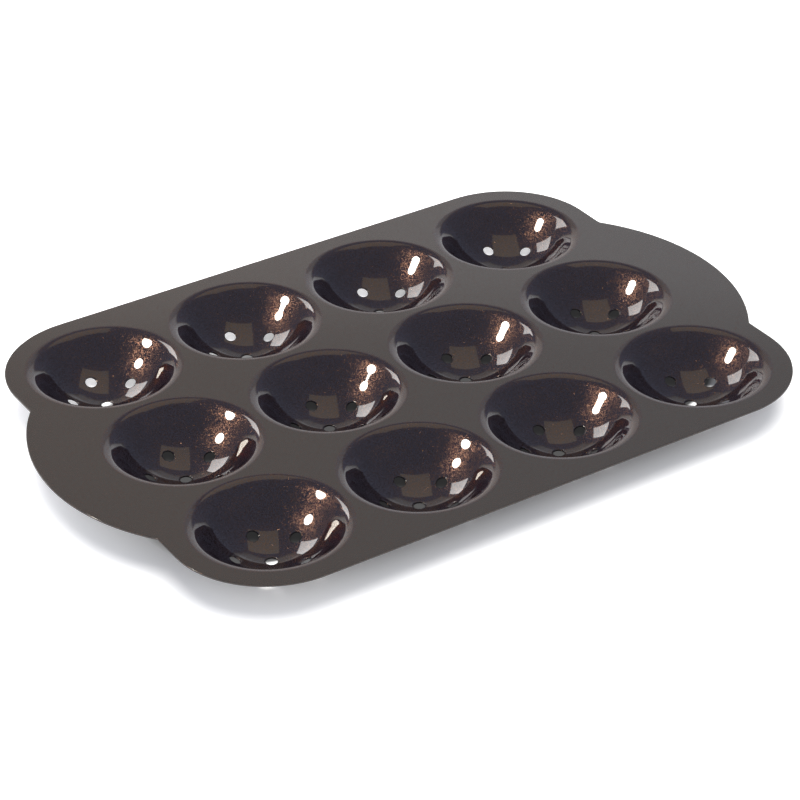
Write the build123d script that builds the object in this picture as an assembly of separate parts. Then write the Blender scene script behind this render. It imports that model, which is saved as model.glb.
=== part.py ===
from build123d import *
import math
import os

# Twelve-cup perforated pan for round cakes and filled pancakes, pressed from one steel sheet.
# The flat deck and the twelve cups are zones of that sheet, and they meet face to face.
# +X runs along the long side and +Z is up. The origin is on the rest plane, under the middle.

# Sheet
sheet = 1.0                # thickness of the steel sheet

# Cups
columns = 4                # cups along X
rows = 3                   # cups along Y
mouth_diameter = 81.2      # circle where the deck starts to bend down into a cup
cup_depth = 23.0           # from the deck's top face to the deepest point inside a cup
wall_easing = 6.0          # degrees by which the ball part stops short of a plain ball's slope
wall_flare = 10.5          # degrees by which the wall above the ball opens out, up to the lip
lip_radius = 7.2           # bend from the wall to the deck, on the upper face
web_width = 2.8            # flat deck between two neighbouring mouths
rim_land = 0.4             # flat ring outside the bend that belongs to the cup
coin_depth = 0.25          # how far the underside is pressed flat round the middle vent

# Vents, one in the middle of a cup and a ring of them round it
vent_diameter = 6.0
vent_ring_radius = 17.5    # from the cup's axis to the vents of the ring, seen from above
vent_ring_count = 5
vent_ring_start = 90.0     # degrees from +X to the first vent of the ring
punch_length = 6.0         # of the punch that cuts a vent, longer than the sheet is thick

# Deck
edge_margin = 10.4         # deck from a mouth to the pan's straight sides
grip_reach = 22.5          # how far a grip stands out past the straight end
grip_shoulder = 17.5       # straight edge between a rounded corner and the grip
grip_blend = 1.5           # radius in the inside corner beside a grip
edge_round = 0.2           # round on the sheet's cut edge

# Sizes that follow from the ones above
mouth_radius = mouth_diameter / 2
seam_radius = mouth_radius + rim_land
cup_pitch = mouth_diameter + web_width
corner_radius = mouth_radius + edge_margin
half_length = (columns - 1) * cup_pitch / 2 + corner_radius
half_width = (rows - 1) * cup_pitch / 2 + corner_radius
grip_half_width = half_width - corner_radius - grip_shoulder
grip_radius = (grip_half_width ** 2 + grip_reach ** 2) / (2 * grip_reach)
deck_top = cup_depth + sheet - coin_depth
deck_bottom = deck_top - sheet

# The inside of a cup is a ball, then a wall that curves the other way, then the lip. They meet
# without a corner, and both radii follow from the cup's mouth and depth and the two slopes.
wall_slope = 2 * math.atan(cup_depth / mouth_radius) - math.radians(wall_easing)
lip_slope = wall_slope - math.radians(wall_flare)
ball_run = math.sin(wall_slope)
ball_rise = 1 - math.cos(wall_slope)
flare_run = math.sin(wall_slope) - math.sin(lip_slope)
flare_rise = math.cos(lip_slope) - math.cos(wall_slope)
wall_run = mouth_radius - lip_radius * math.sin(lip_slope)
wall_rise = cup_depth - lip_radius * (1 - math.cos(lip_slope))
balance = ball_run * flare_rise - flare_run * ball_rise
ball_radius = (wall_run * flare_rise - flare_run * wall_rise) / balance
flare_radius = (ball_run * wall_rise - ball_rise * wall_run) / balance

# Centres of the three arcs, as distance from the cup's axis and height
ball_centre = deck_top - cup_depth + ball_radius
flare_reach = ball_radius + flare_radius
flare_centre = (flare_reach * math.sin(wall_slope), ball_centre - flare_reach * math.cos(wall_slope))
lip_centre = (mouth_radius, deck_top - lip_radius)


def deck_outline():
    """Rounded rectangle with an arc-shaped grip on each end, drawn as a quarter and mirrored."""
    corner_x = half_length - corner_radius
    corner_y = half_width - corner_radius
    arc_centre = half_length + grip_reach - grip_radius
    arc_size = math.degrees(math.asin(grip_half_width / grip_radius))
    quarter = Curve() + [
        Line((0, half_width), (corner_x, half_width)),
        CenterArc((corner_x, corner_y), corner_radius, 0, 90),
        Line((half_length, corner_y), (half_length, grip_half_width)),
        CenterArc((arc_centre, 0), grip_radius, 0, arc_size),
    ]
    half = quarter + mirror(quarter, Plane.XZ)
    outline = make_face(half + mirror(half, Plane.YZ))
    inside_corners = [
        corner
        for corner in outline.vertices()
        if math.isclose(abs(corner.X), half_length) and math.isclose(abs(corner.Y), grip_half_width)
    ]
    return fillet(inside_corners, grip_blend)


def cup_centres():
    """Row, column and place of each cup, from the back left."""
    places = []
    for row in range(rows):
        for column in range(columns):
            x = (column - (columns - 1) / 2) * cup_pitch
            y = ((rows - 1) / 2 - row) * cup_pitch
            places.append((row + 1, column + 1, x, y))
    return places


def make_deck():
    """Flat sheet with the two grips, open where the cups are."""
    plate = Pos(0, 0, deck_bottom) * extrude(deck_outline(), amount=sheet)
    plate = fillet(outer_edges(plate), edge_round)
    for row, column, x, y in cup_centres():
        plate -= Pos(x, y, deck_bottom + sheet / 2) * Cylinder(seam_radius, 2 * sheet)
    return plate


def outer_edges(plate):
    """Edges round the plate's upper and lower face."""
    top = plate.faces().sort_by(Axis.Z)[-1]
    bottom = plate.faces().sort_by(Axis.Z)[0]
    return top.edges() + bottom.edges()


def ball_arc(radius, first, last):
    """Arc about the ball's centre, from one slope to another."""
    slopes = (first, (first + last) / 2, last)
    points = [(radius * math.sin(s), ball_centre - radius * math.cos(s)) for s in slopes]
    return ThreePointArc(*points)


def outward_arc(centre, radius, first, last):
    """Arc that turns from a cup out to the deck, from one slope to another."""
    x, z = centre
    slopes = (first, (first + last) / 2, last)
    points = [(x - radius * math.sin(s), z + radius * math.cos(s)) for s in slopes]
    return ThreePointArc(*points)


def cup_profile():
    """Half section of a cup, with x as the distance from its axis."""
    under_ball = ball_radius + sheet
    rest_slope = math.acos(ball_centre / under_ball)
    rest_radius = under_ball * math.sin(rest_slope)
    inside = deck_top - cup_depth
    return [
        ball_arc(ball_radius, 0, wall_slope),
        outward_arc(flare_centre, flare_radius, wall_slope, lip_slope),
        outward_arc(lip_centre, lip_radius, lip_slope, 0),
        Line((mouth_radius, deck_top), (seam_radius, deck_top)),
        Line((seam_radius, deck_top), (seam_radius, deck_bottom)),
        Line((seam_radius, deck_bottom), (mouth_radius, deck_bottom)),
        outward_arc(lip_centre, lip_radius - sheet, 0, lip_slope),
        outward_arc(flare_centre, flare_radius - sheet, lip_slope, wall_slope),
        ball_arc(under_ball, wall_slope, rest_slope),
        Line((rest_radius, 0), (0, 0)),
        Line((0, 0), (0, inside)),
    ]


def vent_cutters():
    """Punches square to the cup's surface: one on the axis and a ring round it."""
    punch = Cylinder(vent_diameter / 2, punch_length)
    cutters = [Pos(0, 0, deck_top - cup_depth) * punch]
    tilt = math.degrees(math.asin(vent_ring_radius / ball_radius))
    for number in range(vent_ring_count):
        turn = vent_ring_start + number * 360 / vent_ring_count
        along = Pos(0, 0, ball_centre) * Rot(0, 0, turn) * Rot(0, -tilt, 0)
        cutters.append(along * Pos(0, 0, -ball_radius) * punch)
    return cutters


def make_cup():
    """One cup on its own axis, with its lip and its vents."""
    section = Plane.XZ * make_face(cup_profile())
    cup = revolve(section, Axis.Z)
    for cutter in vent_cutters():
        cup -= cutter
    return cup


os.makedirs("parts", exist_ok=True)
export_step(make_deck(), "parts/deck.step")
cup = make_cup()
for row, column, x, y in cup_centres():
    export_step(Pos(x, y, 0) * cup, f"parts/cup_r{row}c{column}.step")
print("pitch", cup_pitch, "length", 2 * (half_length + grip_reach), "width", 2 * half_width, "height", deck_top)
print("ball", round(ball_radius, 3), "flare", round(flare_radius, 3), "grip", round(grip_radius, 3))
print("slopes", round(math.degrees(wall_slope), 3), round(math.degrees(lip_slope), 3))
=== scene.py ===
import math

import bmesh
import bpy
from mathutils import Matrix, Vector


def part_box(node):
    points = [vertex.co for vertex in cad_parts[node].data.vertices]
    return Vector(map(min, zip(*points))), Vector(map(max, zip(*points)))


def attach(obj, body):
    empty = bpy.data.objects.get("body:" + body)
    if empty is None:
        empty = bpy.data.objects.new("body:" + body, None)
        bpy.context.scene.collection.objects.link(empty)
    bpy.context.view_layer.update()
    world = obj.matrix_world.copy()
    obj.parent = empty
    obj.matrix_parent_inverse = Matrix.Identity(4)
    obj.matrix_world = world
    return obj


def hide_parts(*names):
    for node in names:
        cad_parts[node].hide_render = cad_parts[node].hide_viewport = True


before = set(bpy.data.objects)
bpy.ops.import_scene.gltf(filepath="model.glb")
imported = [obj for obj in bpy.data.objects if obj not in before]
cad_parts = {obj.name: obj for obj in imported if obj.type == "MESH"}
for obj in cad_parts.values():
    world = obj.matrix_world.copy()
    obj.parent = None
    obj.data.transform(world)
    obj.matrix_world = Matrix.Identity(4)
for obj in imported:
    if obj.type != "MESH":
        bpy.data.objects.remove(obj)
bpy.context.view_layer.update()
mm = 0.001             # the pan's sizes are in millimetres, the studio's in metres
mergeGap = 0.002 * mm
upAxis = Vector((0, 0, 1))

# The pan's own places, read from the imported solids
deckLow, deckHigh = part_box("deck")
sheetThickness = deckHigh.z - deckLow.z
cupNodes = sorted(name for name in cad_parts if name.startswith("cup_"))
cupCentres = {}
for name in cupNodes:
    low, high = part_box(name)
    cupCentres[name] = Vector(((low.x + high.x) / 2, (low.y + high.y) / 2, 0))
    seamRadius = (high.x - low.x) / 2
print("frame read:", len(cupNodes), "cups, deck top at", round(deckHigh.z / mm, 3), "mm")


# Small helpers for drawing a section with one moving point

def onlyVerts(items):
    return [item for item in items if isinstance(item, bmesh.types.BMVert)]


def lineTo(bm, point, place):
    end = bmesh.ops.extrude_vert_indiv(bm, verts=[point])["verts"][0]
    end.co = place
    return end


def arcTo(bm, point, centre, axis, degrees, steps):
    made = bmesh.ops.spin(
        bm, geom=[point], cent=centre, axis=axis, dvec=(0, 0, 0),
        angle=math.radians(degrees), steps=steps, use_merge=False, use_duplicate=False)
    return onlyVerts(made["geom_last"])[0]


def turnFull(bm, segments):
    bmesh.ops.spin(
        bm, geom=bm.verts[:] + bm.edges[:], cent=(0, 0, 0), axis=upAxis, dvec=(0, 0, 0),
        angle=math.tau, steps=segments, use_merge=True, use_duplicate=False)
    bmesh.ops.remove_doubles(bm, verts=bm.verts[:], dist=mergeGap)
    bmesh.ops.recalc_face_normals(bm, faces=bm.faces[:])


def finishPiece(bm, name, sharpAngle=35, levelFrom=0.99999):
    mesh = bpy.data.meshes.new(name)
    bm.normal_update()
    for face in bm.faces:          # level faces are shaded flat
        face.smooth = abs(face.normal.z) < levelFrom
    bm.to_mesh(mesh)
    bm.free()
    mesh.set_sharp_from_angle(angle=math.radians(sharpAngle))
    piece = bpy.data.objects.new(name, mesh)
    bpy.context.scene.collection.objects.link(piece)
    return piece


# Cup: ball, wall and lip. The wall has a short straight part, where the lamp's two images meet.

cupShape = dict(
    mouthRadius=40.6,
    depth=23.0,           # from the deck's top to the deepest point inside
    wallEasing=8.4,       # degrees short of a plain ball's slope
    wallFlare=8.1,        # degrees that the wall opens out above the ball
    wallStraight=4.4,     # above the ball
    lipRadius=7.2,        # upper face
    segments=192,
    ballSteps=64,
    flareSteps=16,
    lipSteps=24,
    underSteps=26,        # of the ball's under face
    underWallSteps=6,     # of flare and lip there
)

ventShape = dict(
    radius=3.0,
    ringRadius=17.5,
    ringCount=5,
    ringStart=90.0,
    topRound=0.32,        # rolled edge inside the cup
    underRound=0.2,
    roundTurn=78.0,       # degrees of the rolled edge, short of touching the wall flat
    topSteps=8,
    underSteps=5,
    widen=0.02,           # of the cutter beyond the rolled edge
    above=2.0,            # how far the cutter reaches over the wall, and below it
    below=3.0,
    segments=64,
)


def solveCup(shape):
    mouth = shape["mouthRadius"] * mm
    depth = shape["depth"] * mm
    lip = shape["lipRadius"] * mm
    straight = shape["wallStraight"] * mm
    wall = 2 * math.atan(depth / mouth) - math.radians(shape["wallEasing"])
    edge = wall - math.radians(shape["wallFlare"])
    ballRun, ballRise = math.sin(wall), 1 - math.cos(wall)
    flareRun = math.sin(wall) - math.sin(edge)
    flareRise = math.cos(edge) - math.cos(wall)
    run = mouth - lip * math.sin(edge) - straight * math.cos(wall)
    rise = depth - lip * (1 - math.cos(edge)) - straight * math.sin(wall)
    balance = ballRun * flareRise - flareRun * ballRise
    ball = (run * flareRise - flareRun * rise) / balance
    flare = (ballRun * rise - ballRise * run) / balance
    top = deckHigh.z
    ballCentre = Vector((0, 0, top - depth + ball))
    outward = Vector((math.sin(wall), 0, -math.cos(wall)))
    upward = Vector((math.cos(wall), 0, math.sin(wall)))
    ballEnd = ballCentre + outward * ball
    straightEnd = ballEnd + upward * straight
    flareCentre = straightEnd + outward * flare
    lipCentre = Vector((mouth, 0, top - lip))
    return dict(
        top=top, inside=top - depth, mouth=mouth, wall=math.degrees(wall), edge=math.degrees(edge),
        ball=ball, ballCentre=ballCentre, flareCentre=flareCentre, lipCentre=lipCentre,
        ballEnd=ballEnd, straightEnd=straightEnd, outward=outward)


def makeCupShell(shape, solved):
    bm = bmesh.new()
    top, under = solved["top"], solved["top"] - sheetThickness
    turnUp, turnDown = (0, 1, 0), (0, -1, 0)
    wall, edge = solved["wall"], solved["edge"]
    wallSteps = shape["underWallSteps"]
    rest = math.degrees(math.acos(solved["ballCentre"].z / (solved["ball"] + sheetThickness)))
    point = bm.verts.new((0, 0, solved["inside"]))
    point = arcTo(bm, point, solved["ballCentre"], turnDown, wall, shape["ballSteps"])
    point = lineTo(bm, point, solved["straightEnd"])
    point = arcTo(bm, point, solved["flareCentre"], turnUp, wall - edge, shape["flareSteps"])
    point = arcTo(bm, point, solved["lipCentre"], turnUp, edge, shape["lipSteps"])
    point = lineTo(bm, point, (seamRadius, 0, top))
    point = lineTo(bm, point, (seamRadius, 0, under))
    point = lineTo(bm, point, (solved["mouth"], 0, under))
    point = arcTo(bm, point, solved["lipCentre"], turnDown, edge, wallSteps)
    point = arcTo(bm, point, solved["flareCentre"], turnDown, wall - edge, wallSteps)
    point = lineTo(bm, point, solved["ballEnd"] + solved["outward"] * sheetThickness)
    point = arcTo(bm, point, solved["ballCentre"], turnUp, wall - rest, shape["underSteps"])
    lineTo(bm, point, (0, 0, 0))
    turnFull(bm, shape["segments"])
    return bm


def makeVentCutter(shape, solved):
    # drawn with the cup's inner face at height 0 and the ball's centre above it
    bm = bmesh.new()
    ball, hole = solved["ball"], shape["radius"] * mm
    outer = ball + sheetThickness
    widen, above, below = (shape[key] * mm for key in ("widen", "above", "below"))
    turn, topSteps, underSteps = (shape[key] for key in ("roundTurn", "topSteps", "underSteps"))
    topRound, underRound = shape["topRound"] * mm, shape["underRound"] * mm
    topReach, underReach = hole + topRound, hole + underRound
    topHeight = ball - math.sqrt((ball + topRound) ** 2 - topReach ** 2)
    underHeight = ball - math.sqrt((outer - underRound) ** 2 - underReach ** 2)
    start = Vector((hole, 0, topHeight))
    point = bm.verts.new(start)
    point = arcTo(bm, point, (topReach, 0, topHeight), (0, 1, 0), turn, topSteps)
    point = lineTo(bm, point, (point.co.x + widen, 0, above))
    lineTo(bm, point, (0, 0, above))
    point = next(vertex for vertex in bm.verts if (vertex.co - start).length < mergeGap)
    point = lineTo(bm, point, (hole, 0, underHeight))
    point = arcTo(bm, point, (underReach, 0, underHeight), (0, -1, 0), turn, underSteps)
    point = lineTo(bm, point, (point.co.x + widen, 0, -below))
    lineTo(bm, point, (0, 0, -below))
    turnFull(bm, shape["segments"])
    return bm


def punchVents(cup, shape, solved):
    tilt = math.asin(shape["ringRadius"] * mm / solved["ball"])
    toWall = Matrix.Translation((0, 0, -solved["ball"]))
    toCentre = Matrix.Translation(solved["ballCentre"])
    places = [toCentre @ toWall]
    for number in range(shape["ringCount"]):
        turn = math.radians(shape["ringStart"] + number * 360 / shape["ringCount"])
        aim = Matrix.Rotation(turn, 4, "Z") @ Matrix.Rotation(-tilt, 4, "Y")
        places.append(toCentre @ aim @ toWall)
    for place in places:
        bm = makeVentCutter(shape, solved)
        bmesh.ops.transform(bm, matrix=place, verts=bm.verts[:])
        cutter = finishPiece(bm, "ventCutter")
        cut = cup.modifiers.new("vent", "BOOLEAN")
        cut.operation, cut.solver, cut.object = "DIFFERENCE", "EXACT", cutter
        evaluated = cup.evaluated_get(bpy.context.evaluated_depsgraph_get())
        opened = bpy.data.meshes.new_from_object(evaluated)
        cup.modifiers.clear()
        old, cup.data = cup.data, opened
        bpy.data.meshes.remove(old)
        bpy.data.objects.remove(cutter)


solved = solveCup(cupShape)
masterCup = finishPiece(makeCupShell(cupShape, solved), "masterCup")
punchVents(masterCup, ventShape, solved)
cupPieces = []
for node in cupNodes:
    mesh = masterCup.data.copy()
    mesh.transform(Matrix.Translation(cupCentres[node]))
    mesh.name = node.replace("cup_", "bowl_")
    piece = bpy.data.objects.new(mesh.name, mesh)
    bpy.context.scene.collection.objects.link(piece)
    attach(piece, "root")
    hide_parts(node)
    cupPieces.append(piece)
bpy.data.objects.remove(masterCup)
print("cups made:", len(cupPieces), "with", len(cupPieces[0].data.polygons), "faces each")


# Deck: flat sheet with rounded corners and a grip at each end, open at the mouths

deckShape = dict(
    cornerRadius=51.0,
    gripReach=22.5,
    gripShoulder=17.5,    # straight edge between corner and grip
    gripBlend=3.0,        # inside corner beside the grip
    edgeRound=0.2,
    rimTurn=1.2,          # radians that the faces beside a rounded edge turn, or more
    rimClear=1.0,         # and how far such an edge lies from the cups' seams, or more
    levelGap=0.1,         # difference in height between its ends, or less
    cornerSteps=40,
    gripSteps=48,
    blendSteps=6,
    edgeSteps=3,
)


def makeDeckSheet(shape):
    bm = bmesh.new()
    size = Vector((deckHigh.x, deckHigh.y, 0))
    corner, reach, blend = (shape[key] * mm for key in ("cornerRadius", "gripReach", "gripBlend"))
    end = size.x - reach  # the straight end beside the grip
    cornerCentre = Vector((end - corner, size.y - corner, 0))
    gripHalf = cornerCentre.y - shape["gripShoulder"] * mm
    gripRadius = (gripHalf ** 2 + reach ** 2) / (2 * reach)
    gripCentre = Vector((size.x - gripRadius, 0, 0))
    blendX = end + blend
    blendY = math.sqrt((gripRadius + blend) ** 2 - (blendX - gripCentre.x) ** 2)
    blendCentre = Vector((blendX, blendY, 0))
    toGrip = blendCentre - gripCentre
    gripAngle = math.degrees(math.atan2(toGrip.y, toGrip.x))
    point = bm.verts.new((0, size.y, 0))
    point = lineTo(bm, point, (cornerCentre.x, size.y, 0))
    point = arcTo(bm, point, cornerCentre, upAxis, -90, shape["cornerSteps"])
    point = lineTo(bm, point, (end, blendCentre.y, 0))
    point = arcTo(bm, point, blendCentre, upAxis, gripAngle, shape["blendSteps"])
    point = arcTo(bm, point, gripCentre, upAxis, -gripAngle, shape["gripSteps"])
    point.co.y = 0
    for axis in "YX":
        bmesh.ops.mirror(
            bm, geom=bm.verts[:] + bm.edges[:], matrix=Matrix.Identity(4),
            merge_dist=mergeGap, axis=axis)
    bmesh.ops.remove_doubles(bm, verts=bm.verts[:], dist=mergeGap)
    for centre in cupCentres.values():
        bmesh.ops.create_circle(
            bm, cap_ends=False, segments=cupShape["segments"], radius=seamRadius,
            matrix=Matrix.Translation(centre))
    bmesh.ops.triangle_fill(
        bm, use_beauty=True, use_dissolve=False, edges=bm.edges[:], normal=upAxis)
    bmesh.ops.translate(bm, vec=(0, 0, deckLow.z), verts=bm.verts[:])
    bmesh.ops.recalc_face_normals(bm, faces=bm.faces[:])
    raised = bmesh.ops.extrude_face_region(bm, geom=bm.faces[:])["geom"]
    bmesh.ops.translate(bm, vec=(0, 0, sheetThickness), verts=onlyVerts(raised))
    bmesh.ops.recalc_face_normals(bm, faces=bm.faces[:])
    bmesh.ops.bevel(
        bm, geom=outerRims(bm, shape), offset=shape["edgeRound"] * mm, offset_type="OFFSET",
        affect="EDGES", segments=shape["edgeSteps"], profile=0.5, material=-1, clamp_overlap=True)
    return bm


def outerRims(bm, shape):
    rims = []
    clear = seamRadius + shape["rimClear"] * mm
    for edge in bm.edges:
        first, second = (vertex.co for vertex in edge.verts)
        middle = (first + second) / 2
        level = abs(first.z - second.z) <= shape["levelGap"] * mm
        sharp = edge.calc_face_angle(0) >= shape["rimTurn"]
        outside = all((middle.xy - centre.xy).length > clear for centre in cupCentres.values())
        if level and sharp and outside:
            rims.append(edge)
    return rims


deckPiece = finishPiece(makeDeckSheet(deckShape), "deckSheet", sharpAngle=12)
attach(deckPiece, "root")
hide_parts("deck")
print("deck made:", len(deckPiece.data.polygons), "faces")


# Node helpers: arithmetic on a Wire adds Math nodes

class Wire:
    def __init__(self, board, socket):
        self.board, self.socket = board, socket

    def __add__(self, other): return self.board.maths("ADD", self, other)
    def __radd__(self, other): return self.board.maths("ADD", other, self)
    def __sub__(self, other): return self.board.maths("SUBTRACT", self, other)
    def __mul__(self, other): return self.board.maths("MULTIPLY", self, other)
    def __truediv__(self, other): return self.board.maths("DIVIDE", self, other)
    def __pow__(self, other): return self.board.maths("POWER", self, other)
    def __gt__(self, other): return self.board.maths("GREATER_THAN", self, other)


class Board:
    def __init__(self, tree):
        self.tree = tree
        tree.nodes.clear()

    def add(self, kind, settings=None, inputs=None, output=0):
        node = self.tree.nodes.new(kind)
        for key, value in (settings or {}).items():
            setattr(node, key, value)
        for key, value in (inputs or {}).items():
            if isinstance(value, Wire):
                self.tree.links.new(value.socket, node.inputs[key])
            else:
                node.inputs[key].default_value = value
        return Wire(self, node.outputs[output]) if len(node.outputs) else node

    def maths(self, operation, first, second):
        return self.add("ShaderNodeMath", dict(operation=operation), {0: first, 1: second})

    def vectors(self, operation, inputs):
        return self.add("ShaderNodeVectorMath", dict(operation=operation), inputs)

    def part(self, vector, axis):
        return self.add("ShaderNodeSeparateXYZ", inputs={"Vector": vector}, output=axis)

    def mixed(self, factor, first, second):
        return self.add("ShaderNodeMix", dict(data_type="VECTOR"), {
            0: factor, 4: first, 5: second}, output=1)

    def fade(self, value, start, end, atStart=0.0, atEnd=1.0):
        return self.add("ShaderNodeMapRange", dict(interpolation_type="SMOOTHSTEP"), {
            "Value": value, "From Min": start, "From Max": end, "To Min": atStart, "To Max": atEnd})


def newFinish(name):
    material = bpy.data.materials.new(name)
    material.use_nodes = True
    return material, Board(material.node_tree)


def wearFinish(piece, material):
    piece.data.materials.clear()
    piece.data.materials.append(material)


# Coating: clear gloss over a dark pigment, with copper flake in it

coatLook = dict(
    copper=(0.052, 0.0275, 0.0185),
    edgeTint=(0.4, 0.32, 0.3),    # of the flakes, seen at a slant
    roughness=0.29,
    gloss=1.5,             # refractive index of the clear layer
    strayPower=8,          # higher makes flakes that lean far rarer
)

# flakeShare is the part of the face that is flake, flakeTilt how far most flakes lean,
# strayTilt how far a few of them do
cupLook = dict(name="cupFinish", pigment=(0.0115, 0.0095, 0.0135), coatRoughness=0.035,
               flakeSize=0.3, flakeShare=0.5, flakeTilt=0.22, strayTilt=0.9)
deckLook = dict(name="deckFinish", pigment=(0.012, 0.01, 0.0092), coatRoughness=0.07,
                flakeSize=0.2, flakeShare=0.22, flakeTilt=0.2, strayTilt=0.5)


def makeCoating(coat, look):
    material, board = newFinish(look["name"])
    place = board.add("ShaderNodeTexCoord", output="Object")
    cells = 1 / (look["flakeSize"] * mm)
    cell = board.add("ShaderNodeTexVoronoi", dict(feature="F1"), {
        "Vector": place, "Scale": cells}, output="Color")
    noise = board.add("ShaderNodeTexWhiteNoise", dict(noise_dimensions="3D"), {
        "Vector": cell}, output="Color")
    flake = board.part(noise, "X") > 1 - look["flakeShare"]
    stray = board.part(noise, "Y") ** coat["strayPower"] * look["strayTilt"]
    lean = board.vectors("SUBTRACT", {0: cell, 1: (0.5, 0.5, 0.5)})
    lean = board.vectors("SCALE", {0: lean, "Scale": look["flakeTilt"] + stray})
    normal = board.add("ShaderNodeNewGeometry", output="Normal")
    leaning = board.vectors("NORMALIZE", {0: board.vectors("ADD", {0: normal, 1: lean})})
    colour = board.mixed(flake, look["pigment"], coat["copper"])
    shader = board.add("ShaderNodeBsdfPrincipled", inputs={
        "Base Color": colour, "Metallic": flake, "Roughness": coat["roughness"],
        "Specular IOR Level": 0.0, "Specular Tint": coat["edgeTint"] + (1,),
        "Normal": leaning, "Coat Weight": 1.0, "Coat Roughness": look["coatRoughness"],
        "Coat IOR": coat["gloss"]})
    board.add("ShaderNodeOutputMaterial", inputs={"Surface": shader})
    return material


cupFinish = makeCoating(coatLook, cupLook)
deckFinish = makeCoating(coatLook, deckLook)
for piece in cupPieces:
    wearFinish(piece, cupFinish)
wearFinish(deckPiece, deckFinish)
print("finishes made")


# Floor, room, panels and lamps, which stand where their reflections in the cups put them

studio = dict(
    floorSize=8.0,
    floorColour=0.82,
    paintedShadeColour=0.04,      # painted shade: the floor's colour made dark under the pan, where shade falls; seen through its vents
    shadeHalf=(0.165, 0.092),
    shadeFade=(0.995, 1.02),
    floorGlow=0.5,         # only for the camera, so that the open floor is white
    shadeGlow=0.025,       # painted light: a faint camera-only glow on all the floor, which lifts the painted shade under the pan
    glowMiddle=0.02,       # of the glow's inner edge along X; held back near the pan, the glow paints the soft edge of its shadow
    glowHalf=(0.15, 0.097),
    glowBehind=0.35,       # share by which it starts closer behind: painted light under the back edge, standing in for light that comes in there
    glowEnd=1.5,           # times that half size, where the floor has all of it
    upperColour=(0.27, 0.31, 0.43),
    rightTint=(0.985, 1.0, 1.03),
    leftTint=(1.05, 0.985, 0.94),
    tintTurn=(50, 66),     # bearings where the one starts to pass into the other, and ends
)

# White walls: bearing of the middle, degrees from it where they start and end to fade,
# the heights where they do, as sines, and how bright they are. The last one is a low ring.
walls = [
    dict(middle=58, full=24, last=36, low=0.49, high=0.55, level=1.12),
    dict(middle=58, full=24, last=36, low=0.62, high=0.74, level=0.72),
    dict(middle=-100, full=50, last=65, low=0.40, high=0.50, level=1.6),
    dict(middle=0, full=360, last=370, low=0.12, high=0.20, level=1.1),
]

lamps = [
    dict(name="roundLamp", place=(-1.26, 0.64, 1.07), size=0.4, power=27.0,
         colour=(1.0, 0.92, 0.80), onGloss=True, onPaper=False),
    dict(name="overhead", place=(0.0, -0.2, 1.9), size=1.9, power=76.0,
         colour=(1.0, 0.98, 0.94), onGloss=False, onPaper=True),
]

panels = [
    dict(name="softBox", glow=(6.9, 6.8, 6.8), corners=(
        (-0.47, 0.912, 1.033), (-0.08, 0.981, 0.731),
        (-0.07, 1.056, 0.409), (-0.48, 1.046, 0.448))),
    dict(name="ceiling", glow=(1.0, 0.88, 0.74), corners=(
        (0.285, -0.322, 0.862), (-0.289, -0.034, 1.0),
        (0.108, 0.677, 0.961), (0.491, 0.25, 0.705))),
]


def roundedOut(across, along, half, power=4):
    # 1 on a rounded rectangle of that half size, and more outside
    wide, deep = half
    return ((across / wide) ** power + (along / deep) ** power) ** (1 / power)


def makeFloor(studio):
    bm = bmesh.new()
    bmesh.ops.create_grid(bm, x_segments=1, y_segments=1, size=studio["floorSize"] / 2)
    floor = finishPiece(bm, "floor")
    material, board = newFinish("floorWhite")
    seen = board.add("ShaderNodeLightPath", output="Is Camera Ray")
    place = board.add("ShaderNodeTexCoord", output="Object")
    across, along = board.part(place, "X"), board.part(place, "Y")
    # painted shadow and light: the camera-only glow is held back near the pan, so the soft shadow
    # round it is partly cast and partly painted
    behind = along * (1 + (along > 0) * studio["glowBehind"])
    out = roundedOut(across - studio["glowMiddle"], behind, studio["glowHalf"])
    clear = board.fade(out, 1.0, studio["glowEnd"])
    # painted shade: under the pan the floor's colour fades to the dark shade colour
    out = roundedOut(across, along, studio["shadeHalf"])
    floorWithPaintedShade = board.fade(out, *studio["shadeFade"], studio["paintedShadeColour"], studio["floorColour"])
    paper = board.add("ShaderNodeBsdfDiffuse", inputs={"Color": floorWithPaintedShade})
    strength = seen * (clear * studio["floorGlow"] + studio["shadeGlow"])
    glow = board.add("ShaderNodeEmission", inputs={"Color": (1, 1, 1, 1), "Strength": strength})
    both = board.add("ShaderNodeAddShader", inputs={0: paper, 1: glow})
    board.add("ShaderNodeOutputMaterial", inputs={"Surface": both})
    wearFinish(floor, material)


def makeRoom(studio, walls):
    world = bpy.data.worlds.new("room")
    world.use_nodes = True
    bpy.context.scene.world = world
    board = Board(world.node_tree)
    direction = board.add("ShaderNodeTexCoord", output="Generated")
    across, along, height = (board.part(direction, axis) for axis in "XYZ")
    bearing = board.maths("ARCTAN2", along, across)
    white = 0
    for wall in walls:
        off = board.maths("ABSOLUTE", bearing - math.radians(wall["middle"]), 0)
        full, last = math.radians(wall["full"]), math.radians(wall["last"])
        side = board.fade(off, full, last, wall["level"], 0.0)
        rise = board.fade(height, wall["low"], wall["high"], 1.0, 0.0)
        white = board.maths("MAXIMUM", white, side * rise)
    turn = board.fade(bearing, *(math.radians(angle) for angle in studio["tintTurn"]))
    tint = board.mixed(turn, studio["rightTint"], studio["leftTint"])
    light = board.vectors("SCALE", {0: tint, "Scale": white})
    light = board.vectors("MAXIMUM", {0: light, 1: studio["upperColour"]})
    seen = board.add("ShaderNodeLightPath", output="Is Camera Ray")
    shown = board.mixed(seen, light, (1.0, 1.0, 1.0))
    back = board.add("ShaderNodeBackground", inputs={"Color": shown, "Strength": 1.0})
    board.add("ShaderNodeOutputWorld", inputs={"Surface": back})


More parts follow.
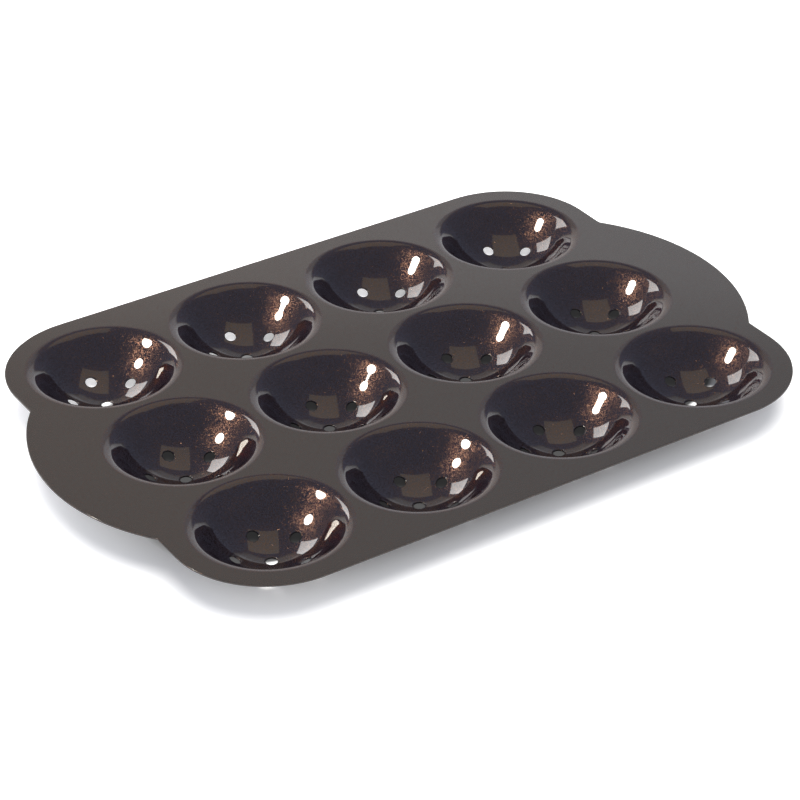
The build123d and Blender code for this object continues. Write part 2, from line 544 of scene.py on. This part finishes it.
def addPanel(look):
    bm = bmesh.new()
    made = bmesh.ops.create_grid(bm, x_segments=1, y_segments=1, size=0.5)["verts"]
    order = ((-0.5, 0.5), (0.5, 0.5), (0.5, -0.5), (-0.5, -0.5))
    places = {flat: Vector(corner) for flat, corner in zip(order, look["corners"])}
    for vertex in made:
        vertex.co = places[round(vertex.co.x, 1), round(vertex.co.y, 1)] + upAxis * deckHigh.z
    panel = finishPiece(bm, look["name"])
    panel.visible_camera = False
    panel.visible_shadow = False
    material, board = newFinish(look["name"] + "Glow")
    light = board.add("ShaderNodeEmission", inputs={"Color": look["glow"] + (1,), "Strength": 1.0})
    board.add("ShaderNodeOutputMaterial", inputs={"Surface": light})
    wearFinish(panel, material)


def addLamp(look):
    light = bpy.data.lights.new(look["name"], "AREA")
    light.shape, light.size = "DISK", look["size"]
    light.energy, light.color = look["power"], look["colour"]
    lamp = bpy.data.objects.new(look["name"], light)
    bpy.context.scene.collection.objects.link(lamp)
    lamp.location = Vector(look["place"]) + upAxis * deckHigh.z
    lamp.rotation_mode = "QUATERNION"
    lamp.rotation_quaternion = (-Vector(look["place"])).to_track_quat("-Z", "Y")
    lamp.visible_camera = False
    lamp.visible_glossy = look["onGloss"]
    lamp.visible_diffuse = look["onPaper"]


makeFloor(studio)
makeRoom(studio, walls)
for look in lamps:
    addLamp(look)
for look in panels:
    addPanel(look)
print("studio made:", len(lamps), "lamps and", len(panels), "panels")


# Camera at the photograph's place: a long lens from the front left, tilted a little

cameraLook = dict(
    lens=123.65,
    sensor=36.0,
    clip=(0.05, 50.0),         # metres
    azimuth=-32.4209,
    height=32.3246,            # degrees above the horizon
    roll=-0.7646,
    distance=1385.56,
    target=(-16.94, -28.16),   # on the deck's top
)


def makeCamera(look):
    azimuth, height, roll = (math.radians(look[key]) for key in ("azimuth", "height", "roll"))
    level = math.cos(height)
    back = Vector((math.sin(azimuth) * level, -math.cos(azimuth) * level, math.sin(height)))
    right = (-back).cross(upAxis).normalized()
    up = right.cross(-back)
    rolledRight = right * math.cos(roll) + up * math.sin(roll)
    rolledUp = up * math.cos(roll) - right * math.sin(roll)
    target = Vector((look["target"][0] * mm, look["target"][1] * mm, deckHigh.z))
    data = bpy.data.cameras.new("photoCamera")
    data.lens, data.sensor_width = look["lens"], look["sensor"]
    data.clip_start, data.clip_end = look["clip"]
    camera = bpy.data.objects.new("photoCamera", data)
    bpy.context.scene.collection.objects.link(camera)
    turn = Matrix((rolledRight, rolledUp, back)).transposed()
    camera.matrix_world = Matrix.Translation(target + back * look["distance"] * mm) @ turn.to_4x4()
    bpy.context.scene.camera = camera


makeCamera(cameraLook)
bpy.context.scene.view_settings.view_transform = "Standard"
print("camera made")
